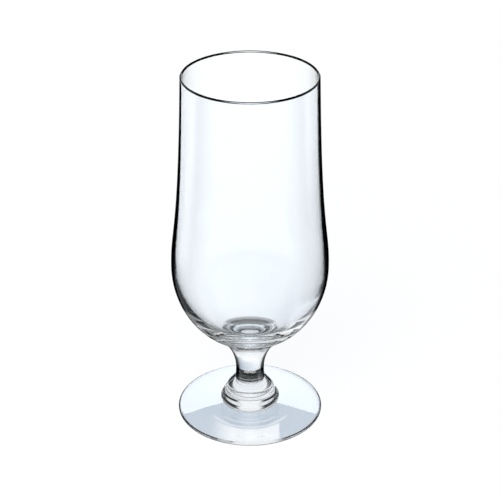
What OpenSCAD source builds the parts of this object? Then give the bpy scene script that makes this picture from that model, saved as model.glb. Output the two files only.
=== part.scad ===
// Footed pilsner glass: a blown bowl, a waisted stem, a bell shaped knop and a round foot.
// Every piece is turned about Z, the table is z = 0, and all sizes are millimetres.

/* [Bowl] */
// Height of the whole glass, from the table to the top of the lip
glass_height = 180; // [172:1:192]
// Outside diameter at the lip
rim_d = 64.4; // [58:0.2:70]
// Outside diameter at the belly, the widest level of the bowl
belly_d = 76.5; // [70:0.5:84]
// Height of the half ellipse that rounds the bowl below its belly
belly_drop = 42.5; // [38:0.5:46]
// Wall at the lip, which is melted to a full round
rim_wall = 1.1; // [0.9:0.1:2]
// Wall at the belly
belly_wall = 1.9; // [1.2:0.1:2.6]
// Glass under the drink at the middle of the bowl, above the stem
base_thick = 6; // [5:0.5:9]
// Lean of the wall at the lip, in degrees towards the axis
rim_lean = 1.5; // [0:0.1:3]
// Length over which the wall stays upright above the belly
belly_sweep = 19.3; // [12:0.1:26]
// Length over which the wall follows its lean below the lip
rim_sweep = 79.8; // [60:0.1:86]

/* [Stem] */
// Diameter of the stem at its waist
waist_d = 14; // [11:0.2:16]
// How much wider the stem is where it meets the knop
neck_flare = 0.8; // [0.4:0.1:2]
// Radius of the hollow curve from the waist down to the knop
neck_r = 35.7; // [30:0.1:42]
// Radius of the hollow curve from the waist up into the bowl
flare_r = 24.3; // [20:0.1:28]
// Steepest lean of the flare where it runs into the bowl, in degrees from upright
flare_lean = 52; // [48:1:56]
// Diameter of the flat fused joint between stem and bowl
bowl_seat_d = 24; // [20:0.5:26]

/* [Knop] */
// Outside diameter of the ring at the bottom of the knop
knop_d = 29.3; // [27:0.1:33]
// Rounding radius of that ring
knop_ring_r = 3.05; // [2.6:0.05:3.6]
// Depth of the flat on the underside of the ring, where it is fused to the foot
knop_flat = 0.05; // [0.03:0.01:0.3]
// Diameter of the bell above the ring
knop_bell_d = 24.7; // [23:0.1:26.4]
// Lean of the bell's straight side, in degrees from upright
knop_bell_lean = 40; // [36:1:44]
// Rounding radius of the bell's lower edge
knop_bell_round = 3; // [2:0.1:4]
// Radius of the hollow sweep between the bell and the ring
knop_sweep_r = 5; // [4:0.5:9]
// Height of the knop
knop_h = 14.45; // [13.5:0.05:15.5]

/* [Foot] */
// Diameter of the foot
foot_d = 72.5; // [64:0.5:80]
// Thickness of the rounded edge of the foot
foot_edge = 2; // [1.4:0.1:2.6]
// Height of the foot at its middle, where the knop stands
foot_hub = 3.75; // [3:0.05:5]
// Slope of the top of the foot beside the knop, in degrees
foot_hub_slope = 9; // [5:1:14]
// Slope of the top of the foot at its edge, in degrees
foot_edge_slope = 2; // [1:0.5:3]
// Depth of the hollow under the foot
foot_hollow = 1.2; // [0.4:0.1:1.6]
// Width of the flat ring that the glass stands on
rest_ring = 3; // [2:0.5:6]

/* [Hidden] */
$fn = 160;

// Bands along each kind of curve
long_steps = 20;
round_steps = 14;
short_steps = 6;

glass_tint = [0.86, 0.91, 0.94, 0.45];

// Stack of heights, from the table up
ring_r = knop_d / 2 - knop_ring_r;
ring_z = foot_hub + knop_ring_r - knop_flat;
flat_turn = acos((knop_ring_r - knop_flat) / knop_ring_r);
knop_base_r = ring_r + knop_ring_r * sin(flat_turn);
stem_seat_r = (waist_d + neck_flare) / 2;
stem_seat_z = foot_hub + knop_h;
waist_r = waist_d / 2;
neck_turn = acos(1 - (stem_seat_r - waist_r) / neck_r);
waist_z = stem_seat_z + neck_r * sin(neck_turn);
seat_turn = acos(1 - (bowl_seat_d / 2 - waist_r) / flare_r);
bowl_seat_z = waist_z + flare_r * sin(seat_turn);
drink_z = bowl_seat_z + base_thick;

// The ellipse under the belly takes over from a short cone at the lean of the flare
belly_r = belly_d / 2;
ellipse_turn = atan(belly_drop / belly_r * tan(flare_lean));
flare_end = [waist_r + flare_r * (1 - cos(flare_lean)), waist_z + flare_r * sin(flare_lean)];
cone_rise = (belly_r * cos(ellipse_turn) - flare_end.x) / tan(flare_lean);
belly_z = flare_end.y + cone_rise + belly_drop * sin(ellipse_turn);

// The lip is a full round between the two faces of the wall
lip_r = rim_wall / 2;
lip = [rim_d / 2 - lip_r, glass_height - lip_r];

// The bell is a cone from the edge of the stem that runs into a round at its lower edge
bell_r = knop_bell_d / 2 - knop_bell_round;
bell_run = bell_r + knop_bell_round * cos(knop_bell_lean) - stem_seat_r;
bell_z = stem_seat_z - bell_run / tan(knop_bell_lean) - knop_bell_round * sin(knop_bell_lean);
bell = [bell_r, bell_z];
ring = [ring_r, ring_z];
sweep = outside_circle(bell, knop_bell_round, ring, knop_ring_r, knop_sweep_r);

function direction(from, to) = atan2(to.y - from.y, to.x - from.x);
function without_first(points) = [for (i = [1 : len(points) - 1]) points[i]];
function reversed(points) = [for (i = [len(points) - 1 : -1 : 0]) points[i]];

// Points along a circle, the angles measured from the outward radius
function arc(centre, radius, from, to, steps) = [
    for (i = [0 : steps])
        let (turn = from + (to - from) * i / steps)
        centre + radius * [cos(turn), sin(turn)]
];

// Points along an upright ellipse, from one turn below its widest level to another
function ellipse_below(widest_z, half_width, drop, from, to, steps) = [
    for (i = [0 : steps])
        let (turn = from + (to - from) * i / steps)
        [half_width * cos(turn), widest_z - drop * sin(turn)]
];

// Points along a cubic curve with its two end points and their handles
function bezier(a, a_handle, b_handle, b, steps) = [
    for (i = [0 : steps])
        let (t = i / steps, s = 1 - t)
        s * s * s * a + 3 * s * s * t * a_handle + 3 * s * t * t * b_handle + t * t * t * b
];

// Centre of the circle that touches two others from outside, on the side away from the axis
function outside_circle(c1, r1, c2, r2, radius) =
    let (
        gap = norm(c2 - c1),
        along = (pow(gap, 2) + pow(r1 + radius, 2) - pow(r2 + radius, 2)) / (2 * gap),
        aside = sqrt(pow(r1 + radius, 2) - pow(along, 2)),
        unit = (c2 - c1) / gap
    )
    c1 + along * unit + aside * [-unit.y, unit.x];

// One face of the wall from the belly to the lip
function upper_wall(radius, lip_turn) =
    let (
        top = lip + lip_r * [cos(lip_turn), sin(lip_turn)],
        start = [radius, belly_z]
    )
    bezier(start, start + [0, belly_sweep], top + rim_sweep * [tan(rim_lean), -1], top, long_steps);

// Bowl: flare, ellipse and upper wall outside, then the lip and the same curves inside
module bowl() {
    flare_centre = [waist_r + flare_r, waist_z];
    flare = arc(flare_centre, flare_r, 180 - seat_turn, 180 - flare_lean, short_steps);
    outer_round = ellipse_below(belly_z, belly_r, belly_drop, ellipse_turn, 0, round_steps);
    outer_wall = upper_wall(belly_r, rim_lean);
    lip_round = arc(lip, lip_r, rim_lean, 180 + rim_lean, short_steps);
    inner_r = belly_r - belly_wall;
    inner_wall = reversed(upper_wall(inner_r, 180 + rim_lean));
    inner_round = ellipse_below(belly_z, inner_r, belly_z - drink_z, 0, 90, round_steps);
    color(glass_tint)
        rotate_extrude()
            polygon(concat(
                [[0, bowl_seat_z]],
                flare,
                outer_round,
                without_first(outer_wall),
                without_first(lip_round),
                without_first(inner_wall),
                without_first(inner_round)
            ));
}

// Stem: solid, with one hollow curve below the waist and a longer one above it
module stem() {
    neck = arc([waist_r + neck_r, waist_z], neck_r, 180 + neck_turn, 180, round_steps);
    flare = arc([waist_r + flare_r, waist_z], flare_r, 180, 180 - seat_turn, round_steps);
    color(glass_tint)
        rotate_extrude()
            polygon(concat(
                [[0, stem_seat_z]],
                neck,
                without_first(flare),
                [[0, bowl_seat_z]]
            ));
}

// Knop: solid, a coned bell on a round ring with a hollow sweep between them
module knop() {
    ring_end = direction(ring, sweep);
    bell_end = direction(bell, sweep);
    ring_arc = arc(ring, knop_ring_r, flat_turn - 90, ring_end, round_steps);
    sweep_arc = arc(sweep, knop_sweep_r, 180 + ring_end, 180 + bell_end, short_steps);
    bell_arc = arc(bell, knop_bell_round, bell_end, knop_bell_lean, round_steps);
    color(glass_tint)
        rotate_extrude()
            polygon(concat(
                [[0, foot_hub]],
                ring_arc,
                without_first(sweep_arc),
                without_first(bell_arc),
                [[stem_seat_r, stem_seat_z], [0, stem_seat_z]]
            ));
}

// Foot: pressed disc with a flat hub for the knop, a rounded edge and a hollow underside
module foot() {
    edge_r = foot_edge / 2;
    edge = [foot_d / 2 - edge_r, edge_r];
    hollow_rim = edge.x - rest_ring;
    hollow_r = (pow(hollow_rim, 2) + pow(foot_hollow, 2)) / (2 * foot_hollow);
    hollow_turn = asin(hollow_rim / hollow_r);
    hollow = arc([0, foot_hollow - hollow_r], hollow_r, 90, 90 - hollow_turn, short_steps);
    edge_round = arc(edge, edge_r, -90, 90 - foot_edge_slope, short_steps);
    edge_top = edge + edge_r * [sin(foot_edge_slope), cos(foot_edge_slope)];
    hub = [knop_base_r, foot_hub];
    reach = (edge_top.x - hub.x) / 3;
    top = bezier(
        edge_top,
        edge_top + reach * [-1, tan(foot_edge_slope)],
        hub + reach * [1, -tan(foot_hub_slope)],
        hub,
        round_steps
    );
    color(glass_tint)
        rotate_extrude()
            polygon(concat(
                hollow,
                edge_round,
                without_first(top),
                [[0, foot_hub]]
            ));
}

bowl();
stem();
knop();
foot();
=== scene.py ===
"""Footed pilsner glass: four fused pieces of clear glass on a white studio table.

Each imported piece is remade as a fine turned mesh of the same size, so that light bends through
it without facets, and is dressed in fire-polished glass. Sizes are in millimetres.
"""

from __future__ import annotations

import logging
import math
from abc import ABC, abstractmethod
from dataclasses import dataclass
from enum import Enum, IntEnum
from typing import Any

import bpy
from bpy.types import ID, Material, Node, NodeSocket, NodeTree, Object, World
from mathutils import Euler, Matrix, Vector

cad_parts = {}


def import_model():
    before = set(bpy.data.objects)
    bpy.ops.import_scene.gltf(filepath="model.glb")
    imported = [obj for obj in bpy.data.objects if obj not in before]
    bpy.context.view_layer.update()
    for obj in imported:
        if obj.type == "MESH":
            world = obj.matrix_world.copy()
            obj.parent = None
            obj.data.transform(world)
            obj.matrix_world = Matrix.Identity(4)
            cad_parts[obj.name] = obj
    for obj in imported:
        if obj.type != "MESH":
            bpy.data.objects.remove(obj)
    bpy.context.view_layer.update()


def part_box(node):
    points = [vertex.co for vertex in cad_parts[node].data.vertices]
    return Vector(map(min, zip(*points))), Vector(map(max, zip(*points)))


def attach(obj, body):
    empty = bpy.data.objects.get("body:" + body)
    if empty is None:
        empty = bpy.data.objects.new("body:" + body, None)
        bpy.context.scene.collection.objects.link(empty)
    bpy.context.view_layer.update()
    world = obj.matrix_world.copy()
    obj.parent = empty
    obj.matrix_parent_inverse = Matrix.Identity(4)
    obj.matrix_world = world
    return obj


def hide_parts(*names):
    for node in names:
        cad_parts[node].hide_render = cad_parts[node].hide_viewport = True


LOG = logging.getLogger("pilsner_glass")
MM = 0.001
BLACK = "#000000"
WHITE = "#FFFFFF"
# Points of an outline that are closer than this, in millimetres, are one point
SAME_POINT = 1e-6
# Faces that meet at a larger angle than this, in degrees, keep a sharp edge
SHARP_ANGLE = 20.0
# Scale that leaves only the level part of a vector
LEVEL = (1.0, 1.0, 0.0)
# A ray counts its passes and turns in whole numbers, so limits for them lie halfway between
ANY = 0.5
OVER_TWO = 2.5

Point = tuple[float, float]
Outline = list[Point]
# A plain number, a socket, or a node that stands for its first output
Light = float | NodeSocket | Node


class Surface(IntEnum):
    """Which finish a stretch of an outline takes, as its material slot."""

    SKIN = 0
    JOINT = 1
    LIP = 2
    BRIM = 3


class Chords(IntEnum):
    """How many straight chords draw a stretch of an outline."""

    ENDS = 1
    CONE = 16
    ROUND = 20
    CURVE = 24
    RING = 32
    TOP = 40
    BELLY = 48
    WALL = 64


@dataclass(frozen=True)
class Run:
    """One stretch of a turned outline.

    Attributes:
        surface: the finish of the stretch.
        points: radius and height along it, in millimetres.
    """

    surface: Surface
    points: Outline


def linear(hex_colour: str) -> tuple[float, float, float, float]:
    """Turns an sRGB hex colour into linear light.

    Args:
        hex_colour: six hex digits after a hash sign.

    Returns:
        Linear red, green, blue and an alpha of one.
    """
    channels = [int(hex_colour[i:i + 2], 16) / 255 for i in (1, 3, 5)]
    light = [c / 12.92 if c <= 0.04045 else ((c + 0.055) / 1.055) ** 2.4 for c in channels]
    return light[0], light[1], light[2], 1.0


def arc(centre: Point, radius: float, start: float, end: float, steps: int) -> Outline:
    """Points along a circle.

    Args:
        centre: radius and height of its centre.
        radius: its radius.
        start: first angle from the outward radius, in degrees.
        end: last angle, in degrees.
        steps: number of chords.

    Returns:
        The points, ends included.
    """
    turns = [math.radians(start + (end - start) * i / steps) for i in range(steps + 1)]
    return [(centre[0] + radius * math.cos(t), centre[1] + radius * math.sin(t)) for t in turns]


def ellipse_below(widest_z: float, half_width: float, drop: float, start: float, end: float,
                  steps: int) -> Outline:
    """Points along an upright ellipse below its widest level.

    Args:
        widest_z: height of the widest level.
        half_width: radius there.
        drop: height of the half ellipse.
        start: first turn below the widest level, in degrees.
        end: last turn, in degrees.
        steps: number of chords.

    Returns:
        The points, ends included.
    """
    turns = [math.radians(start + (end - start) * i / steps) for i in range(steps + 1)]
    return [(half_width * math.cos(t), widest_z - drop * math.sin(t)) for t in turns]


def bezier(a: Point, a_handle: Point, b_handle: Point, b: Point, steps: int) -> Outline:
    """Points along a cubic curve.

    Args:
        a: first end.
        a_handle: handle of the first end.
        b_handle: handle of the last end.
        b: last end.
        steps: number of chords.

    Returns:
        The points, ends included.
    """
    points = []
    for i in range(steps + 1):
        t = i / steps
        s = 1 - t
        weights = (s ** 3, 3 * s * s * t, 3 * s * t * t, t ** 3)
        radius = sum(w * p[0] for w, p in zip(weights, (a, a_handle, b_handle, b)))
        height = sum(w * p[1] for w, p in zip(weights, (a, a_handle, b_handle, b)))
        points.append((radius, height))
    return points


def direction(start: Point, end: Point) -> float:
    """Angle of the line from start to end, in degrees."""
    return math.degrees(math.atan2(end[1] - start[1], end[0] - start[0]))


def outside_circle(first: Point, first_r: float, second: Point, second_r: float, radius: float) -> Point:
    """Centre of the circle that touches two others from outside, away from the axis.

    Args:
        first: centre of the upper circle.
        first_r: its radius.
        second: centre of the lower circle.
        second_r: its radius.
        radius: radius of the touching circle.

    Returns:
        Radius and height of the centre.
    """
    gap = math.dist(first, second)
    along = (gap ** 2 + (first_r + radius) ** 2 - (second_r + radius) ** 2) / (2 * gap)
    aside = math.sqrt((first_r + radius) ** 2 - along ** 2)
    unit = ((second[0] - first[0]) / gap, (second[1] - first[1]) / gap)
    return first[0] + along * unit[0] - aside * unit[1], first[1] + along * unit[1] + aside * unit[0]


def add_object(name: str, data: ID) -> Object:
    """Makes an object and links it to the scene.

    Args:
        name: name of the object.
        data: its mesh, lamp or camera.

    Returns:
        The new object.
    """
    thing = bpy.data.objects.new(name, data)
    bpy.context.scene.collection.objects.link(thing)
    return thing


def turned_piece(name: str, runs: list[Run], segments: int) -> Object:
    """Turns an outline about Z into a closed, smooth mesh.

    Args:
        name: name of the piece.
        runs: the outline from the axis round to the axis again, outside on its right.
        segments: number of steps round the axis.

    Returns:
        The new object, linked to the scene.
    """
    outline: Outline = [runs[0].points[0]]
    surfaces: list[Surface] = []
    for run in runs:
        for point in run.points:
            if math.dist(point, outline[-1]) > SAME_POINT:
                outline.append(point)
                surfaces.append(run.surface)
    circle = arc((0.0, 0.0), 1.0, 0, 360, segments)[:-1]
    verts: list[tuple[float, float, float]] = []
    rings: list[list[int]] = []
    for radius, height in outline:
        on_axis = radius < SAME_POINT
        places = [(0.0, 0.0)] if on_axis else [(radius * x, radius * y) for x, y in circle]
        first = len(verts)
        verts.extend((x * MM, y * MM, height * MM) for x, y in places)
        rings.append([first] * segments if on_axis else list(range(first, first + segments)))
    faces: list[tuple[int, ...]] = []
    slots: list[int] = []
    for low, high, surface in zip(rings, rings[1:], surfaces):
        for i in range(segments):
            j = (i + 1) % segments
            corners = (low[i], low[j], high[j], high[i])
            faces.append(tuple(dict.fromkeys(corners)))
            slots.append(int(surface))
    mesh = bpy.data.meshes.new(name)
    mesh.from_pydata(verts, [], faces)
    mesh.polygons.foreach_set("material_index", slots)
    mesh.polygons.foreach_set("use_smooth", [True] * len(faces))
    mesh.set_sharp_from_angle(angle=math.radians(SHARP_ANGLE))
    mesh.update()
    return add_object(name, mesh)


def add_node(tree: NodeTree, kind: str, inputs: dict[str | int, Any] | None = None,
             **settings: Any) -> Node:
    """Adds a node with its settings and links.

    Args:
        tree: the node tree.
        kind: Blender's name for the kind of node.
        inputs: what each socket gets, by its name or number: a value, a socket to link to it, or a
            node to link by its first output.
        settings: properties of the node itself.

    Returns:
        The new node.
    """
    node = tree.nodes.new(kind)
    for key, value in settings.items():
        setattr(node, key, value)
    for key, value in (inputs or {}).items():
        if isinstance(value, Node):
            value = value.outputs[0]
        if isinstance(value, NodeSocket):
            tree.links.new(value, node.inputs[key])
        else:
            node.inputs[key].default_value = value
    return node


class Finish(ABC):
    """Look of a real material, named for what it is and how it was made."""

    name: str

    @abstractmethod
    def surface(self, tree: NodeTree) -> Node:
        """Builds the nodes, and gives the one whose first output is the shader."""

    def material(self) -> Material:
        """Makes the material.

        Returns:
            The material.
        """
        material = bpy.data.materials.new(self.name)
        material.use_nodes = True
        tree = material.node_tree
        tree.nodes.clear()
        add_node(tree, "ShaderNodeOutputMaterial", {"Surface": self.surface(tree)})
        return material


@dataclass(frozen=True)
class FirePolishedGlass(Finish):
    """Soda-lime glass, shaped hot and then fire-polished: clear, bright and very smooth.

    Flame polishing leaves a skin without scratches but with a slow waviness, which makes
    reflections and the things seen through the wall swim a little. Thick sections throw the light
    far aside near their outline; their dark outline is painted shade here, the glass's colour
    darkened towards the edge colour where the surface turns from the eye.

    Attributes:
        name: name of the material.
        wave_mm: length of the waviness left by forming.
        wave_depth_mm: its height.
        painted_shade_from: facing at which the painted dark edge begins, 1 being face on, 0 for none.
        painted_shade_full: facing at which the painted shade is darkest.
        edge: colour that the painted shade leaves at the edge.
        upright: whether the painted shade follows an upright round, so that a hollow curve keeps it
            even.
        upright_tilt: how far that round leans up for each unit outward.
        every_ray: whether the painted shade also shows through other glass.
        specular: strength of the mirror, 0.5 being that of the refractive index.
        tint: colour of the glass, a trace of iron.
        ior: refractive index.
    """

    name: str
    wave_mm: float = 14.0
    wave_depth_mm: float = 0.01
    painted_shade_from: float = 0.0
    painted_shade_full: float = 0.0
    edge: str = BLACK
    upright: bool = False
    upright_tilt: float = 0.4
    every_ray: bool = False
    specular: float = 0.5
    tint: str = "#F9FCFE"
    ior: float = 1.52

    def painted_edge_shade_colour(self, tree: NodeTree, place: NodeSocket) -> NodeSocket:
        """Colour with painted shade, going from the tint to the dark edge.

        Args:
            tree: the node tree.
            place: the place on the piece.

        Returns:
            The socket with the colour.
        """
        # Painted shade: the glass's colour darkens towards the edge colour where the surface turns from
        # the eye, seen by camera rays only unless it is set for every ray
        facing = add_node(tree, "ShaderNodeLayerWeight", {"Blend": 0.5})
        if self.upright:
            level = add_node(tree, "ShaderNodeVectorMath", {0: place, 1: LEVEL}, operation="MULTIPLY")
            outward = add_node(tree, "ShaderNodeVectorMath", {0: level}, operation="NORMALIZE")
            raised = add_node(tree, "ShaderNodeVectorMath",
                              {0: outward, 1: (0.0, 0.0, self.upright_tilt)}, operation="ADD")
            tilted = add_node(tree, "ShaderNodeVectorMath", {0: raised}, operation="NORMALIZE")
            tree.links.new(tilted.outputs[0], facing.inputs["Normal"])
        aside = add_node(tree, "ShaderNodeMapRange", {
            "Value": facing.outputs["Facing"],
            "From Min": 1 - self.painted_shade_from,
            "From Max": 1 - self.painted_shade_full,
        }, interpolation_type="SMOOTHSTEP")
        if not self.every_ray:
            path = add_node(tree, "ShaderNodeLightPath")
            aside = add_node(tree, "ShaderNodeMath", {0: aside, 1: path.outputs["Is Camera Ray"]},
                             operation="MULTIPLY")
        colour = add_node(tree, "ShaderNodeMix", {0: aside, 6: linear(self.tint), 7: linear(self.edge)},
                          data_type="RGBA")
        return colour.outputs[2]

    def surface(self, tree: NodeTree) -> Node:
        """Builds clear glass with its waviness and its painted dark edge.

        Args:
            tree: the node tree.

        Returns:
            The node with the shader.
        """
        place = add_node(tree, "ShaderNodeTexCoord").outputs["Object"]
        waves = add_node(tree, "ShaderNodeTexNoise", {
            "Vector": place,
            "Scale": 1 / (self.wave_mm * MM),
            "Detail": 1.0,
            "Roughness": 0.4,
        }, noise_dimensions="3D")
        skin = add_node(tree, "ShaderNodeBump", {
            "Height": waves.outputs["Fac"],
            "Strength": 1.0,
            "Distance": self.wave_depth_mm * MM,
        })
        return add_node(tree, "ShaderNodeBsdfPrincipled", {
            "Base Color": self.painted_edge_shade_colour(tree, place) if self.painted_shade_from > 0 else linear(self.tint),
            "Roughness": 0.0,
            "IOR": self.ior,
            "Transmission Weight": 1.0,
            "Specular IOR Level": self.specular,
            "Normal": skin,
        })


@dataclass(frozen=True)
class FusedJoint(Finish):
    """Face where two gathers of hot glass have run together: there is nothing left to see."""

    name: str = "fused_glass_joint"

    def surface(self, tree: NodeTree) -> Node:
        """Builds a face that lets all light through as it comes."""
        return add_node(tree, "ShaderNodeBsdfPrincipled", {"Alpha": 0.0})


class GlassPiece(ABC):
    """Piece of hot-worked glass, turned about Z and fused to its neighbours."""

    @property
    def node(self) -> str:
        """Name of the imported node, which the class is called after."""
        return type(self).__name__.lower()

    @abstractmethod
    def skin(self) -> FirePolishedGlass:
        """Finish of the free faces."""

    @abstractmethod
    def runs(self) -> list[Run]:
        """Outline from the axis round to the axis again."""

    def build(self, segments: int, shared: dict[Surface, Material]) -> Object:
        """Makes the piece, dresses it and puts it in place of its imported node.

        Args:
            segments: number of steps round the axis.
            shared: the finishes that every piece shares.

        Returns:
            The piece.
        """
        piece = turned_piece(f"{self.node}_glass", self.runs(), segments)
        finishes = {Surface.SKIN: self.skin().material(), **shared}
        for surface in Surface:
            piece.data.materials.append(finishes[surface])
        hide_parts(self.node)
        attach(piece, "root")
        return piece


@dataclass
class Foot(GlassPiece):
    """Pressed round foot with a rounded edge, a flat hub and a hollow underside.

    Its top falls from hub_slope at the hub to edge_slope at the edge, both in degrees. The hollow
    leaves a flat rest_ring to stand on.
    """

    radius: float
    hub: float
    seat_r: float
    edge: float = 2.0
    hub_slope: float = 9.0
    edge_slope: float = 2.0
    hollow: float = 1.2
    rest_ring: float = 3.0

    def skin(self) -> FirePolishedGlass:
        """Pressed in a mould: slow waves, so that the table shows through with calm borders."""
        return FirePolishedGlass("pressed_soda_lime_glass", wave_mm=18.0)

    def runs(self) -> list[Run]:
        """Outline from the hollow round the edge to the hub.

        Returns:
            The runs of the outline.
        """
        edge_r = self.edge / 2
        edge = (self.radius - edge_r, edge_r)
        hollow_rim = edge[0] - self.rest_ring
        hollow_r = (hollow_rim ** 2 + self.hollow ** 2) / (2 * self.hollow)
        hollow_turn = math.degrees(math.asin(hollow_rim / hollow_r))
        slope = math.radians(self.edge_slope)
        edge_top = (edge[0] + edge_r * math.sin(slope), edge[1] + edge_r * math.cos(slope))
        hub = (self.seat_r, self.hub)
        reach = (edge_top[0] - hub[0]) / 3
        edge_handle = (edge_top[0] - reach, edge_top[1] + reach * math.tan(slope))
        hub_handle = (hub[0] + reach, hub[1] - reach * math.tan(math.radians(self.hub_slope)))
        hollow_centre = (0.0, self.hollow - hollow_r)
        return [
            Run(Surface.SKIN, arc(hollow_centre, hollow_r, 90, 90 - hollow_turn, Chords.CURVE)),
            Run(Surface.BRIM, arc(edge, edge_r, -90, 90 - self.edge_slope, Chords.CURVE)),
            Run(Surface.SKIN, bezier(edge_top, edge_handle, hub_handle, hub, Chords.TOP)),
            Run(Surface.JOINT, [hub, (0.0, self.hub)]),
        ]


@dataclass
class Knop(GlassPiece):
    """Solid knop: a coned bell on a round ring, with a hollow sweep between them.

    The ring loses base_flat of its round where it is fused to the foot. The cone of the bell leans
    bell_lean degrees from upright and ends in a round of bell_round.
    """

    radius: float
    base_z: float
    top_z: float
    ring_round: float = 3.05
    base_flat: float = 0.05
    bell_d: float = 24.7
    bell_lean: float = 40.0
    bell_round: float = 3.0
    sweep_r: float = 5.0
    top_d: float = 14.8

    def skin(self) -> FirePolishedGlass:
        """Pressed solid: short waves in the bright rings and dark creases of its close curves."""
        return FirePolishedGlass("pressed_glass_knop")

    @property
    def ring(self) -> Point:
        """Centre of the ring's round."""
        return self.radius - self.ring_round, self.base_z + self.ring_round - self.base_flat

    @property
    def base_turn(self) -> float:
        """Turn from straight down to the edge of the base, in degrees."""
        return math.degrees(math.acos((self.ring_round - self.base_flat) / self.ring_round))

    @property
    def base_r(self) -> float:
        """Radius of the base that is fused to the foot."""
        return self.ring[0] + self.ring_round * math.sin(math.radians(self.base_turn))

    @property
    def bell_edge(self) -> Point:
        """Centre of the round at the lower edge of the bell, which the cone runs into.

        Returns:
            Its radius and height.
        """
        lean = math.radians(self.bell_lean)
        edge_r = self.bell_d / 2 - self.bell_round
        run = edge_r + self.bell_round * math.cos(lean) - self.top_d / 2
        return edge_r, self.top_z - run / math.tan(lean) - self.bell_round * math.sin(lean)

    def runs(self) -> list[Run]:
        """Outline from the base round the ring and bell to the top.

        Returns:
            The runs of the outline.
        """
        sweep = outside_circle(self.bell_edge, self.bell_round, self.ring, self.ring_round, self.sweep_r)
        ring_start = self.base_turn - 90
        ring_end = direction(self.ring, sweep)
        bell_end = direction(self.bell_edge, sweep)
        top = (self.top_d / 2, self.top_z)
        bell_round = arc(self.bell_edge, self.bell_round, bell_end, self.bell_lean, Chords.ROUND)
        low = bell_round[-1]
        shift = (top[0] - low[0], top[1] - low[1])
        cone = [(low[0] + shift[0] * i / Chords.CONE, low[1] + shift[1] * i / Chords.CONE)
                for i in range(Chords.CONE + 1)]
        return [
            Run(Surface.JOINT, [(0.0, self.base_z), (self.base_r, self.base_z)]),
            Run(Surface.SKIN, arc(self.ring, self.ring_round, ring_start, ring_end, Chords.RING)),
            Run(Surface.SKIN, arc(sweep, self.sweep_r, 180 + ring_end, 180 + bell_end, Chords.ROUND)),
            Run(Surface.SKIN, bell_round),
            Run(Surface.SKIN, cone),
            Run(Surface.JOINT, [top, (0.0, self.top_z)]),
        ]


@dataclass
class Stem(GlassPiece):
    """Solid stem with a waist, between a hollow curve of neck_r below and one of flare_r above."""

    base_z: float
    top_z: float
    base_r: float
    waist_d: float = 14.0
    neck_r: float = 35.7
    flare_r: float = 24.3

    def skin(self) -> FirePolishedGlass:
        """Drawn solid and narrow: a round lens, clear in its middle, with painted shade on both sides.
        """
        return FirePolishedGlass("drawn_glass_stem_painted_edges", painted_shade_from=0.8, painted_shade_full=0.68, upright=True)

    @property
    def waist_r(self) -> float:
        """Radius at the waist."""
        return self.waist_d / 2

    @property
    def neck_turn(self) -> float:
        """Turn of the lower curve from the waist to the knop, in degrees."""
        return math.degrees(math.acos(1 - (self.base_r - self.waist_r) / self.neck_r))

    @property
    def waist_z(self) -> float:
        """Height of the waist."""
        return self.base_z + self.neck_r * math.sin(math.radians(self.neck_turn))

    @property
    def seat_turn(self) -> float:
        """Turn of the upper curve from the waist to the bowl, in degrees."""
        return math.degrees(math.asin((self.top_z - self.waist_z) / self.flare_r))

    def flare(self, start: float, end: float, steps: int) -> Outline:
        """Part of the upper curve.

        Args:
            start: first turn above the waist, in degrees.
            end: last turn, in degrees.
            steps: number of chords.

        Returns:
            The points, ends included.
        """
        centre = (self.waist_r + self.flare_r, self.waist_z)
        return arc(centre, self.flare_r, 180 - start, 180 - end, steps)

    def runs(self) -> list[Run]:
        """Outline from the knop up to the bowl.

        Returns:
            The runs of the outline.
        """
        neck_centre = (self.waist_r + self.neck_r, self.waist_z)
        upper = self.flare(0, self.seat_turn, Chords.RING)
        return [
            Run(Surface.JOINT, [(0.0, self.base_z), (self.base_r, self.base_z)]),
            Run(Surface.SKIN, arc(neck_centre, self.neck_r, 180 + self.neck_turn, 180, Chords.CURVE)),
            Run(Surface.SKIN, upper),
            Run(Surface.JOINT, [upper[-1], (0.0, self.top_z)]),
        ]


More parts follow.
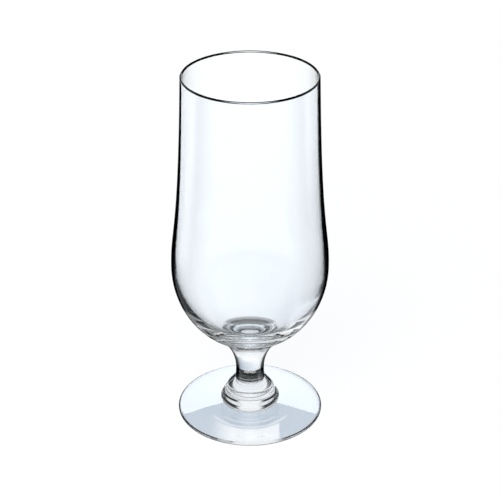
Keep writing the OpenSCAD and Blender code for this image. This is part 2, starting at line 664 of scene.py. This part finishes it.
@dataclass
class Bowl(GlassPiece):
    """Blown bowl: rounded below its belly, drawn in above it, with a melted lip.

    It carries on the upper curve of the stem to flare_lean degrees from upright. A short cone and an
    ellipse of belly_drop lead on to the belly. From there belly_sweep and rim_sweep are the handles of
    the curve up to the lip, where the wall leans in by rim_lean degrees and is melted for a stretch.
    """

    stem: Stem
    belly_r: float
    top_z: float
    rim_d: float = 64.4
    belly_drop: float = 42.5
    rim_wall: float = 1.1
    belly_wall: float = 1.9
    base_thick: float = 6.0
    rim_lean: float = 1.5
    belly_sweep: float = 19.3
    rim_sweep: float = 79.8
    flare_lean: float = 52.0
    melt: float = 0.35

    def skin(self) -> FirePolishedGlass:
        """Blown thin: long waves, in which the streaks down the wall swim gently."""
        return FirePolishedGlass("blown_soda_lime_glass", wave_mm=26.0)

    @property
    def lip_r(self) -> float:
        """Radius of the lip's full round."""
        return self.rim_wall / 2

    @property
    def lip(self) -> Point:
        """Centre of the lip's round."""
        return self.rim_d / 2 - self.lip_r, self.top_z - self.lip_r

    @property
    def rim_slope(self) -> float:
        """How far the wall leans in at the lip for each millimetre up."""
        return math.tan(math.radians(self.rim_lean))

    @property
    def ellipse_turn(self) -> float:
        """Turn below the belly where the ellipse takes the lean of the flare, in degrees."""
        lean = math.tan(math.radians(self.flare_lean))
        return math.degrees(math.atan(self.belly_drop / self.belly_r * lean))

    @property
    def belly_z(self) -> float:
        """Height of the belly, over the flare, a short cone and the ellipse.

        Returns:
            The height.
        """
        flare_end = self.stem.flare(self.stem.seat_turn, self.flare_lean, Chords.ENDS)[-1]
        turn = math.radians(self.ellipse_turn)
        cone_run = self.belly_r * math.cos(turn) - flare_end[0]
        cone_rise = cone_run / math.tan(math.radians(self.flare_lean))
        return flare_end[1] + cone_rise + self.belly_drop * math.sin(turn)

    def wall(self, radius: float, lip_turn: float) -> Outline:
        """One face of the wall from the belly to the lip.

        Args:
            radius: radius of that face at the belly.
            lip_turn: where the face meets the round of the lip, in degrees.

        Returns:
            The points, ends included.
        """
        top = arc(self.lip, self.lip_r, lip_turn, lip_turn, Chords.ENDS)[0]
        top_handle = (top[0] + self.rim_sweep * self.rim_slope, top[1] - self.rim_sweep)
        belly = (radius, self.belly_z)
        belly_handle = (radius, self.belly_z + self.belly_sweep)
        return bezier(belly, belly_handle, top_handle, top, Chords.WALL)

    def runs(self) -> list[Run]:
        """Outline from the stem up the outside, over the lip and down the inside.

        Returns:
            The runs of the outline.
        """
        inner_r = self.belly_r - self.belly_wall
        inner_drop = self.belly_z - self.stem.top_z - self.base_thick
        flare = self.stem.flare(self.stem.seat_turn, self.flare_lean, Chords.CONE)
        round_below = ellipse_below(self.belly_z, self.belly_r, self.belly_drop, self.ellipse_turn, 0,
                                    Chords.BELLY)
        outer_wall = self.wall(self.belly_r, self.rim_lean)
        inner_wall = self.wall(inner_r, 180 + self.rim_lean)[::-1]
        melt_out = (outer_wall[-1][0] + self.melt * self.rim_slope, outer_wall[-1][1] - self.melt)
        melt_in = (inner_wall[0][0] + self.melt * self.rim_slope, inner_wall[0][1] - self.melt)
        lip_round = arc(self.lip, self.lip_r, self.rim_lean, 180 + self.rim_lean, Chords.ROUND)
        return [
            Run(Surface.JOINT, [(0.0, self.stem.top_z), flare[0]]),
            Run(Surface.SKIN, flare),
            Run(Surface.SKIN, round_below),
            Run(Surface.SKIN, outer_wall[:-1] + [melt_out]),
            Run(Surface.LIP, lip_round + [melt_in]),
            Run(Surface.SKIN, inner_wall[1:]),
            Run(Surface.SKIN, ellipse_below(self.belly_z, inner_r, inner_drop, 0, 90, Chords.WALL)),
        ]


@dataclass
class PilsnerGlass:
    """The four pieces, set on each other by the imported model's own heights."""

    bowl: Bowl
    stem: Stem
    knop: Knop
    foot: Foot
    # Steps round the axis, so fine that light bends without facets
    segments: int = 192

    @classmethod
    def from_frame(cls) -> PilsnerGlass:
        """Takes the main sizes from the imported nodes.

        Returns:
            The glass.
        """
        high = {node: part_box(node)[1] for node in ("bowl", "stem", "knop", "foot")}
        widest = {node: corner[0] / MM for node, corner in high.items()}
        top = {node: corner[2] / MM for node, corner in high.items()}
        knop = Knop(radius=widest["knop"], base_z=top["foot"], top_z=top["knop"])
        foot = Foot(radius=widest["foot"], hub=top["foot"], seat_r=knop.base_r)
        stem = Stem(base_z=top["knop"], top_z=top["stem"], base_r=knop.top_d / 2)
        bowl = Bowl(stem=stem, belly_r=widest["bowl"], top_z=top["bowl"])
        return cls(bowl=bowl, stem=stem, knop=knop, foot=foot)

    def build(self) -> list[Object]:
        """Makes the finishes that the pieces share, and then the pieces from the foot up.

        Returns:
            The four pieces.
        """
        shared = {
            Surface.JOINT: FusedJoint().material(),
            # Painted shade: the round edge of the foot darkens to a fine slate line where it turns from
            # the eye
            Surface.BRIM: FirePolishedGlass(
                "foot_edge_painted_slate_shade", painted_shade_from=0.75, painted_shade_full=0.45, edge="#20262C",
                every_ray=True, specular=0.15).material(),
            # The melted lip is a thin rod of glass with painted shade, black all round but where it
            # faces the eye
            Surface.LIP: FirePolishedGlass(
                "melted_lip_painted_black_shade", painted_shade_from=1.02, painted_shade_full=0.92, specular=0.0).material(),
        }
        pieces = (self.foot, self.knop, self.stem, self.bowl)
        return [piece.build(self.segments, shared) for piece in pieces]


class Measure(Enum):
    """What an edge of a card is measured along, seen from the glass with the camera in front."""

    ACROSS = "millimetres to the right of the axis"
    BEHIND = "millimetres behind the axis"
    AWAY = "millimetres from the axis"
    RIGHT = "share of the level direction that points right"
    AHEAD = "share of the level direction that points away from the camera"
    UP = "share of the direction that points up"


# Short names, because every card below uses them
ACROSS, BEHIND, AWAY, RIGHT, AHEAD, UP = Measure


@dataclass(frozen=True)
class Edge:
    """Soft edge of a card, along which its light goes from one share to another.

    Attributes:
        measure: what the edge is measured along.
        start: where the change begins.
        end: where it is done, which may lie below the start.
        before: share of the light before the edge.
        after: share of the light after it.
        slant: how far the edge moves across for each millimetre behind the glass.
    """

    measure: Measure
    start: float
    end: float
    before: float = 0.0
    after: float = 1.0
    slant: float = 0.0


@dataclass(frozen=True)
class Card:
    """Patch of painted light or shade in the studio, as bright as its light inside all its edges.

    Attributes:
        light: brightness, where one is white.
        edges: the soft edges that bound it.
    """

    light: float
    edges: tuple[Edge, ...] = ()


@dataclass(frozen=True)
class CardSet:
    """Cards of which the brightest shows where they overlap."""

    cards: tuple[Card, ...]

    def light(self, tree: NodeTree, measures: dict[Measure, NodeSocket]) -> Light:
        """Builds the nodes for the light of the set.

        Args:
            tree: the node tree.
            measures: the socket of each measure.

        Returns:
            The light of the brightest card.
        """
        brightest: Light | None = None
        for card in self.cards:
            light: Light = card.light
            for edge in card.edges:
                along: Light = measures[edge.measure]
                if edge.slant:
                    along = add_node(tree, "ShaderNodeMath",
                                     {0: measures[BEHIND], 1: -edge.slant, 2: along},
                                     operation="MULTIPLY_ADD")
                share = add_node(tree, "ShaderNodeMapRange", {
                    "Value": along,
                    "From Min": edge.start,
                    "From Max": edge.end,
                    "To Min": edge.before,
                    "To Max": edge.after,
                }, interpolation_type="SMOOTHSTEP")
                light = add_node(tree, "ShaderNodeMath", {0: share, 1: light}, operation="MULTIPLY")
            if brightest is None:
                brightest = light
            else:
                brightest = add_node(tree, "ShaderNodeMath", {0: brightest, 1: light},
                                     operation="MAXIMUM")
        return brightest


def measured(tree: NodeTree, source: NodeSocket) -> dict[Measure, NodeSocket]:
    """Measures a place in the studio, or a direction.

    Args:
        tree: the node tree.
        source: the place in metres, or the direction.

    Returns:
        The socket of each measure.
    """
    spot = add_node(tree, "ShaderNodeVectorMath", {0: source, "Scale": 1 / MM}, operation="SCALE")
    level = add_node(tree, "ShaderNodeVectorMath", {0: spot, 1: LEVEL}, operation="MULTIPLY")
    away = add_node(tree, "ShaderNodeVectorMath", {0: level}, operation="LENGTH")
    bearing = add_node(tree, "ShaderNodeVectorMath", {0: level}, operation="NORMALIZE")
    axes = add_node(tree, "ShaderNodeSeparateXYZ", {0: spot})
    compass = add_node(tree, "ShaderNodeSeparateXYZ", {0: bearing})
    plain = add_node(tree, "ShaderNodeSeparateXYZ", {0: source})
    return {
        ACROSS: axes.outputs["X"],
        BEHIND: axes.outputs["Y"],
        AWAY: away.outputs["Value"],
        RIGHT: compass.outputs["X"],
        AHEAD: compass.outputs["Y"],
        UP: plain.outputs["Z"],
    }


def mirrored_light(tree: NodeTree, path: Node, outer: Light, once: Light, often: Light) -> Node:
    """Painted light that a mirrored ray meets, chosen by where in the glass it was mirrored.

    Args:
        tree: the node tree.
        path: the node that tells the path of the light.
        outer: light for a ray mirrored by the outside of the glass.
        once: light for a ray that turned once or twice inside the glass.
        often: light for a ray that turned more often.

    Returns:
        The node whose first output is the light.
    """
    trapped = add_node(tree, "ShaderNodeMath", {0: path.outputs["Glossy Depth"], 1: OVER_TWO},
                       operation="GREATER_THAN")
    inside = add_node(tree, "ShaderNodeMath", {0: path.outputs["Transmission Depth"], 1: ANY},
                      operation="GREATER_THAN")
    inner = add_node(tree, "ShaderNodeMix", {0: trapped, 2: once, 3: often})
    return add_node(tree, "ShaderNodeMix", {0: inside, 2: outer, 3: inner})


@dataclass(frozen=True)
class AcrylicTable(Finish):
    """White acrylic sheet, cast and lit from above: an even white ground with a faint soft shadow.

    Through the glass it shows painted light and shade in its own glow: a bluish painted shade, deepest
    where the glass's real shadow takes away the lamp's light, a darker painted shade under the solid
    stem, a painted shadow by the foot's edge and a painted patch of light in front of the stem. In the
    mirror of the glass it shows painted reflections, bright and dark patches of its own glow that stand
    in for the studio's lights and dark cards.

    Attributes:
        name: name of the material.
        white: what the camera sees of it.
        shadow: how much of the lamp's light the camera sees on it.
        shade: painted bluish shade, its own glow through the foot, topped up by the lamp where lit.
        shade_lit: how much of the lamp's light shows there.
        bowl_shade: what shows through both walls of the bowl.
        bowl_lit: how much of the lamp's light shows there.
        painted_gathered_light: light of the painted patch in front of the stem.
        painted_contact_shade: painted shadow of the foot's edge on the table close by.
        cards: colour of the painted reflections, a cool white.
        edge_shade: where that painted shadow lies, deeper to the right.
        patch: where the painted patch of light lies.
        stem_shade: where the painted shade under the stem lies.
        stem_depth: light that is left in that painted shade.
        outer: painted reflections met by rays mirrored in the outside of the glass.
        once: painted reflections met after one or two turns inside the glass.
        often: painted reflections met after more turns.
    """

    name: str = "white_acrylic_table"
    white: str = "#FAFBFD"
    shadow: str = "#3C3830"
    shade: str = "#C9D4E0"
    shade_lit: str = "#C9BEAF"
    bowl_shade: str = "#F9FBFF"
    bowl_lit: str = "#8A8681"
    painted_gathered_light: str = "#FAFCFF"
    painted_contact_shade: str = "#78838F"
    cards: str = "#F2F7FE"
    # Painted shadow of the foot's edge, seen through the foot
    edge_shade: CardSet = CardSet((
        Card(1.0, (Edge(AWAY, 33.5, 36.5), Edge(BEHIND, -10, 2), Edge(RIGHT, 0.15, 0.85))),
        Card(0.4, (Edge(AWAY, 33.5, 36.5), Edge(BEHIND, 4, 14), Edge(RIGHT, -0.15, -0.85))),
    ))
    # Painted patch of light in front of the stem, seen through the foot
    patch: CardSet = CardSet((
        Card(1.0, (Edge(ACROSS, -22, -8), Edge(ACROSS, 15, 14), Edge(BEHIND, 0, -8),
                   Edge(AWAY, 21.5, 23.5), Edge(AWAY, 51, 49))),
        # Two thin painted arcs of light where the ring of the knop would gather it
        Card(0.75, (Edge(AWAY, 20.2, 20.8), Edge(AWAY, 21.8, 21.2), Edge(BEHIND, -9, -13))),
        Card(0.6, (Edge(AWAY, 16.4, 16.9), Edge(AWAY, 17.8, 17.3), Edge(BEHIND, -10, -13))),
    ))
    # Painted shade under the solid stem, seen through the glass
    stem_shade: CardSet = CardSet((Card(1.0, (Edge(AWAY, 10, 18), Edge(AWAY, 48, 40))),))
    stem_depth: CardSet = CardSet((
        Card(1.0, (Edge(AWAY, 26, 29.5, 0.12, 0.02),)),
        Card(0.42, (Edge(AWAY, 32, 38),)),
    ))
    # Painted reflections: patches of the table's own glow that only mirrored rays meet
    outer: CardSet = CardSet((
        # To the left, from a straight slanting edge beside the glass
        Card(3.0, (Edge(ACROSS, -117, -145, slant=-0.345), Edge(AWAY, 100, 300, 0.2, 1.0),
                   Edge(BEHIND, -40, 120))),
        Card(0.25, (Edge(RIGHT, -0.72, -0.84), Edge(AWAY, 50, 65))),
        Card(0.8, (Edge(RIGHT, -0.72, -0.84), Edge(AWAY, 42, 50), Edge(AWAY, 68, 58))),
        # To the right in the same way, and a painted patch that draws a streak low on the bowl
        Card(2.4, (Edge(ACROSS, 82, 136, slant=0.6), Edge(AWAY, 180, 440, 0.22, 1.0),
                   Edge(BEHIND, -40, 120))),
        Card(0.4, (Edge(RIGHT, 0.72, 0.92), Edge(AWAY, 40, 50))),
        Card(1.8, (Edge(RIGHT, 0.8, 0.92), Edge(AWAY, 40, 50), Edge(AWAY, 160, 110))),
        # Behind the glass, a narrow strip
        Card(0.2, (Edge(RIGHT, -0.38, -0.26), Edge(RIGHT, 0.06, -0.06))),
        # In front of it, towards the camera
        Card(0.7, (Edge(AHEAD, 0, -0.3), Edge(AWAY, 50, 64), Edge(AWAY, 160, 90),
                   Edge(RIGHT, 0.0, 0.4))),
        Card(0.25, (Edge(AHEAD, 0, -0.3), Edge(AWAY, 50, 64))),
    ))
    once: CardSet = CardSet((
        # Two rings round the foot, the outer one open to the left
        Card(0.4, (Edge(AWAY, 21, 27), Edge(AWAY, 38, 32))),
        Card(0.7, (Edge(AWAY, 54, 66), Edge(AWAY, 106, 94), Edge(RIGHT, -0.65, -0.5))),
        # In front of the foot and to its right
        Card(0.9, (Edge(AHEAD, -0.1, -0.4), Edge(AWAY, 20, 38, 0.17, 1.0))),
        Card(0.85, (Edge(RIGHT, 0.6, 0.75), Edge(AWAY, 32, 40), Edge(AWAY, 104, 96))),
        # Painted dark between them
        Card(0.005),
    ))
    often: CardSet = CardSet((
        # Before and behind the glass, and dimmer to its sides
        Card(0.97, (Edge(AWAY, 104, 92), Edge(RIGHT, -0.4, -0.2), Edge(RIGHT, 0.4, 0.2))),
        Card(0.48, (Edge(AWAY, 104, 92),)),
    ))

    @staticmethod
    def layered(tree: NodeTree, ground: str, layers: list[tuple[Node, Any]]) -> NodeSocket:
        """Colour of a ground with layers laid over it.

        Args:
            tree: the node tree.
            ground: colour of the ground.
            layers: how much of each layer shows, and its colour or light.

        Returns:
            The socket with the colour.
        """
        colour: Any = linear(ground)
        for share, over in layers:
            mix = add_node(tree, "ShaderNodeMix", {0: share, 6: colour, 7: over}, data_type="RGBA")
            colour = mix.outputs[2]
        return colour

    @staticmethod
    def lit(tree: NodeTree, own: Any, caught: Any) -> Node:
        """Ground that shows light of its own and some of the lamp's.

        Args:
            tree: the node tree.
            own: colour of its own light, or the socket that has it.
            caught: colour of its paint for the lamp's light, or the socket.

        Returns:
            The node whose first output is the shader.
        """
        glow = add_node(tree, "ShaderNodeEmission", {"Color": own, "Strength": 1.0})
        paint = add_node(tree, "ShaderNodeBsdfDiffuse", {"Color": caught})
        return add_node(tree, "ShaderNodeAddShader", {0: glow, 1: paint})

    def surface(self, tree: NodeTree) -> Node:
        """Builds what the table shows to each kind of ray.

        Args:
            tree: the node tree.

        Returns:
            The node with the shader.
        """
        path = add_node(tree, "ShaderNodeLightPath")
        passes = path.outputs["Transmission Depth"]
        measures = measured(tree, add_node(tree, "ShaderNodeNewGeometry").outputs["Position"])
        seen = self.lit(tree, linear(self.white), linear(self.shadow))

        # Two passes lead through the foot or one wall, more of them through the bowl or stem and foot
        solid = add_node(tree, "ShaderNodeMath", {0: passes, 1: OVER_TWO}, operation="GREATER_THAN")
        thin = add_node(tree, "ShaderNodeMath", {0: passes, 1: OVER_TWO}, operation="LESS_THAN")
        masks = ((solid, self.stem_shade), (thin, self.edge_shade), (thin, self.patch))
        painted_stem_shade_mask, painted_edge_shade_mask, in_painted_light = (
            add_node(tree, "ShaderNodeMath", {0: rays, 1: area.light(tree, measures)},
                     operation="MULTIPLY")
            for rays, area in masks)
        # Painted shade and light seen through the glass, laid over the bluish painted shade
        own = self.layered(tree, self.shade, [
            (solid, linear(self.bowl_shade)),
            (painted_stem_shade_mask, self.stem_depth.light(tree, measures)),
            (painted_edge_shade_mask, linear(self.painted_contact_shade)),
            (in_painted_light, linear(self.painted_gathered_light)),
        ])
        # Under the painted shades the lamp's light is taken away too
        unlit = add_node(tree, "ShaderNodeMath", {0: painted_stem_shade_mask, 1: painted_edge_shade_mask}, operation="MAXIMUM")
        caught = self.layered(tree, self.shade_lit, [
            (solid, linear(self.bowl_lit)),
            (unlit, linear(BLACK)),
        ])
        through = self.lit(tree, own, caught)
        straight = add_node(tree, "ShaderNodeMixShader",
                            {0: path.outputs["Is Camera Ray"], 1: through, 2: seen})

        light = mirrored_light(tree, path, self.outer.light(tree, measures),
                               self.once.light(tree, measures), self.often.light(tree, measures))
        mirrored = add_node(tree, "ShaderNodeEmission", {"Color": linear(self.cards), "Strength": light})
        turned = add_node(tree, "ShaderNodeMath", {0: path.outputs["Glossy Depth"], 1: ANY},
                          operation="GREATER_THAN")
        return add_node(tree, "ShaderNodeMixShader", {0: turned, 1: straight, 2: mirrored})


@dataclass(frozen=True)
class GlowingPaper(Finish):
    """White matt paper that glows by itself, a painted glow that fades at its cut edges.

    Attributes:
        name: name of the material.
        glow: the stretch of painted glow behind the glass, and the dim rest.
    """

    name: str = "glowing_white_paper"
    glow: CardSet = CardSet((
        Card(4.3, (Edge(ACROSS, -165, -125), Edge(ACROSS, 165, 125), Edge(BEHIND, -1, 1))),
        Card(0.06),
    ))

    def surface(self, tree: NodeTree) -> Node:
        """Builds the glow of the paper."""
        measures = measured(tree, add_node(tree, "ShaderNodeNewGeometry").outputs["Position"])
        return add_node(tree, "ShaderNodeEmission", {"Strength": self.glow.light(tree, measures)})


@dataclass(frozen=True)
class StudioWalls:
    """White studio world of painted light and dark, dark to both sides so that the glass's edges draw
    dark.

    Attributes:
        name: name of the world.
        outer: painted brightness in the mirror of the outside of the glass.
        once: painted light met after one or two turns inside the glass.
        often: painted light met after more turns.
        passed: painted white backdrop seen only through the glass, which ends high up.
    """

    name: str = "white_studio"
    outer: float = 0.04
    once: CardSet = CardSet((
        # Painted strip behind the glass, and painted light from behind the camera
        Card(1.0, (Edge(RIGHT, -0.38, -0.22), Edge(RIGHT, 0.38, 0.22), Edge(AHEAD, 0, 0.2),
                   Edge(UP, 0, 0.45, 0.45, 1.0))),
        Card(1.0, (Edge(AHEAD, 0, -0.2), Edge(UP, 0.1, 0.4, 0.1, 0.7))),
        # Painted light from above, brightest straight above
        Card(1.0, (Edge(UP, 0.57, 0.68, 0.012, 0.85),)),
        Card(1.0, (Edge(UP, 0.8, 0.92, 0.0, 1.15),)),
    ))
    often: CardSet = CardSet((
        # White but to the right, white low down, and grey for the rest
        Card(0.97, (Edge(RIGHT, 0.45, 0.3), Edge(AHEAD, -0.2, 0.0, 0.55, 1.0))),
        Card(0.9, (Edge(UP, 0.42, 0.32), Edge(AHEAD, -0.2, 0.0, 0.55, 1.0))),
        Card(0.25),
    ))
    passed: CardSet = CardSet((Card(1.0, (Edge(UP, 0.65, 0.9, 1.1, 0.1),)),))

    def world(self) -> World:
        """Builds the world, which lights nothing that is matt.

        Returns:
            The world.
        """
        world = bpy.data.worlds.new(self.name)
        world.use_nodes = True
        tree = world.node_tree
        tree.nodes.clear()
        path = add_node(tree, "ShaderNodeLightPath")
        measures = measured(tree, add_node(tree, "ShaderNodeTexCoord").outputs["Generated"])
        inside = add_node(tree, "ShaderNodeMath", {0: path.outputs["Transmission Depth"], 1: ANY},
                          operation="GREATER_THAN")
        straight = add_node(tree, "ShaderNodeMix",
                            {0: inside, 2: 1.0, 3: self.passed.light(tree, measures)})
        # Painted light for mirrored rays, chosen by how they turned in the glass
        light = mirrored_light(tree, path, self.outer, self.once.light(tree, measures),
                               self.often.light(tree, measures))
        turned = add_node(tree, "ShaderNodeMath", {0: path.outputs["Glossy Depth"], 1: ANY},
                          operation="GREATER_THAN")
        seen = add_node(tree, "ShaderNodeMix", {0: turned, 2: straight, 3: light})
        glossy = add_node(tree, "ShaderNodeMath", {0: path.outputs["Diffuse Depth"], 1: ANY},
                          operation="LESS_THAN")
        kept = add_node(tree, "ShaderNodeMath", {0: seen, 1: glossy}, operation="MULTIPLY")
        back = add_node(tree, "ShaderNodeBackground", {"Color": linear(WHITE), "Strength": kept})
        add_node(tree, "ShaderNodeOutputWorld", {"Surface": back})
        return world


@dataclass
class Studio:
    """White table in soft white light, with a ring of paper that shows only in reflections.

    Attributes:
        table_size: side of the table.
        table_drop: gap between the table and the foot, so that their faces don't coincide.
        sun_turn: bearing of the overhead softbox, in degrees.
        sun_height: its height over the horizon, in degrees.
        sun_width: its width as seen from the glass, in degrees.
        paper_low: lower edge of the ring of paper.
        paper_high: its upper edge.
        paper_r: its radius.
        paper_steps: number of its flat faces.
        camera_back: distance of the camera in front of the axis.
        camera_up: its height over the table.
        camera_pitch: how far it looks down, in degrees.
        lens: its focal length.
        sensor: width of its sensor.
    """

    table_size: float = 6000.0
    table_drop: float = 0.1
    sun_turn: float = -20.0
    sun_height: float = 48.0
    sun_width: float = 44.0
    paper_low: float = 110.0
    paper_high: float = 287.0
    paper_r: float = 400.0
    paper_steps: int = 96
    camera_back: float = 661.9
    camera_up: float = 443.6
    camera_pitch: float = 28.13
    lens: float = 111.88
    sensor: float = 36.0

    def table(self) -> Object:
        """Lays the table under the glass.

        Returns:
            The table.
        """
        half = self.table_size / 2 * MM
        z = -self.table_drop * MM
        mesh = bpy.data.meshes.new("table")
        corners = [(-half, -half, z), (half, -half, z), (half, half, z), (-half, half, z)]
        mesh.from_pydata(corners, [], [(0, 1, 2, 3)])
        mesh.materials.append(AcrylicTable().material())
        table = add_object("table", mesh)
        return table

    def paper(self) -> Object:
        """Stands the ring of paper round the table.

        Returns:
            The ring.
        """
        steps = self.paper_steps
        radius = self.paper_r * MM
        circle = arc((0.0, 0.0), radius, 0, 360, steps)[:-1]
        verts = [(x, y, z * MM) for z in (self.paper_low, self.paper_high) for x, y in circle]
        faces = [(i, (i + 1) % steps, steps + (i + 1) % steps, steps + i) for i in range(steps)]
        mesh = bpy.data.meshes.new("paper_ring")
        mesh.from_pydata(verts, [], faces)
        mesh.materials.append(GlowingPaper().material())
        ring = add_object("paper_ring", mesh)
        for ray in ("camera", "diffuse", "transmission", "shadow", "volume_scatter"):
            setattr(ring, f"visible_{ray}", False)
        return ring

    def softbox(self) -> Object:
        """Hangs the wide overhead lamp that gives the table its light and the soft shadow.

        Returns:
            The lamp.
        """
        data = bpy.data.lights.new("overhead_softbox", "SUN")
        data.angle = math.radians(self.sun_width)
        data.energy = math.pi / math.sin(math.radians(self.sun_height))
        lamp = add_object("overhead_softbox", data)
        tilt = math.radians(90 - self.sun_height)
        lamp.rotation_euler = Euler((tilt, 0.0, math.radians(self.sun_turn)))
        lamp.visible_glossy = False
        lamp.visible_transmission = False
        return lamp

    def camera(self) -> Object:
        """Places the camera at the photograph's viewing angle.

        Returns:
            The camera.
        """
        data = bpy.data.cameras.new("camera")
        data.sensor_width = self.sensor
        data.lens = self.lens
        camera = add_object("camera", data)
        camera.location = (0.0, -self.camera_back * MM, self.camera_up * MM)
        camera.rotation_euler = Euler((math.radians(90 - self.camera_pitch), 0.0, 0.0))
        return camera

    def build(self) -> list[Object]:
        """Sets up the plain view, walls, camera, table, paper and lamp.

        Returns:
            The camera, table, ring of paper and lamp.
        """
        scene = bpy.context.scene
        scene.view_settings.view_transform = "Standard"
        scene.cycles.use_denoising = True
        # Light turns many times in the solid stem and knop, and what the edges still hold stays dark
        scene.cycles.max_bounces = 40
        scene.cycles.glossy_bounces = 20
        scene.cycles.transmission_bounces = 32
        scene.cycles.transparent_max_bounces = 32
        scene.world = StudioWalls().world()
        scene.camera = self.camera()
        return [scene.camera, self.table(), self.paper(), self.softbox()]


def main() -> None:
    """Builds the glass and its studio."""
    logging.basicConfig(level=logging.INFO, format="%(name)s: %(message)s")
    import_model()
    for piece in PilsnerGlass.from_frame().build():
        LOG.info("made %s: %d faces", piece.name, len(piece.data.polygons))
    for thing in Studio().build():
        LOG.info("set up %s", thing.name)


if __name__ == "__main__":
    main()
